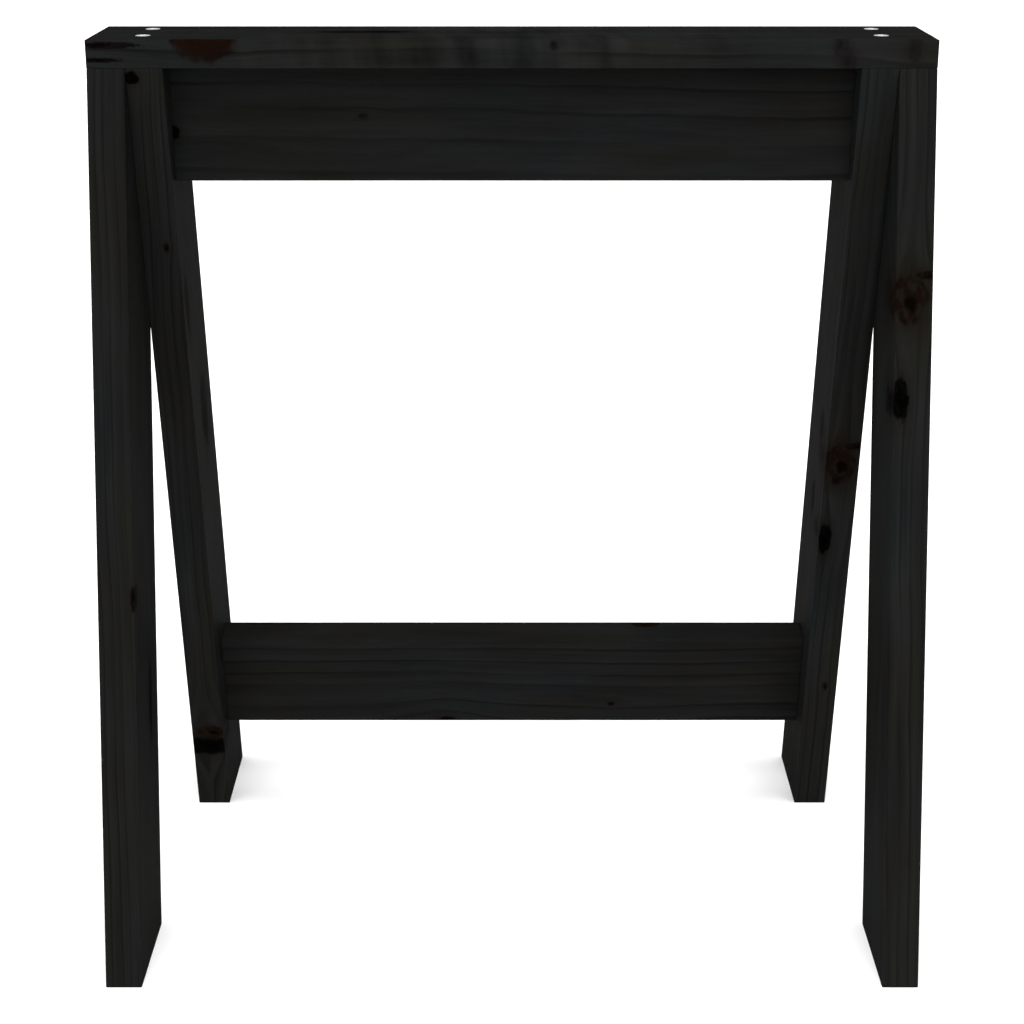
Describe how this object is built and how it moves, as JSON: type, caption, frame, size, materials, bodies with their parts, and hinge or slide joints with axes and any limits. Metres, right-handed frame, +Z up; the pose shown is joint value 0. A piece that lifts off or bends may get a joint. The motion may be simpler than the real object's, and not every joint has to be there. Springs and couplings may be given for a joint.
{
  "type": "sawhorse",
  "caption": "Rigid wooden sawhorse, stained black: a flat top board on lapped, splayed legs, braced by cross rails.",
  "frame": {"origin": "on the floor, midway between the four feet", "axes": "+Z up from the floor to the top board, +X along the top board to the right, -Y the front, where the outer pair of legs leans"},
  "size_m": [0.63, 0.38, 0.71],
  "materials": {
    "stained_pine": "satin",
    "zinc_plated_steel": "satin",
    "plain_steel": "satin",
    "beech": "matte"
  },
  "bodies": {
    "root": {"top_board": "stained_pine", "upper_rail": "stained_pine", "lower_rail": "stained_pine", "front_leg_left": "stained_pine", "front_leg_right": "stained_pine", "back_leg_left": "stained_pine", "back_leg_right": "stained_pine", "top_screw_left_front": "zinc_plated_steel", "top_screw_left_back": "zinc_plated_steel", "top_screw_right_front": "zinc_plated_steel", "top_screw_right_back": "zinc_plated_steel", "upper_bolt_left_high": "zinc_plated_steel", "upper_bolt_left_low": "zinc_plated_steel", "upper_bolt_right_high": "zinc_plated_steel", "upper_bolt_right_low": "zinc_plated_steel", "lower_bolt_left_high": "zinc_plated_steel", "lower_bolt_left_low": "zinc_plated_steel", "lower_bolt_right_high": "zinc_plated_steel", "lower_bolt_right_low": "zinc_plated_steel", "upper_nut_left_high": "plain_steel", "upper_nut_left_low": "plain_steel", "upper_nut_right_high": "plain_steel", "upper_nut_right_low": "plain_steel", "lower_nut_left_high": "plain_steel", "lower_nut_left_low": "plain_steel", "lower_nut_right_high": "plain_steel", "lower_nut_right_low": "plain_steel", "dowel_upper_left": "beech", "dowel_upper_right": "beech", "dowel_lower_left": "beech", "dowel_lower_right": "beech"}
  },
  "joints": []
}
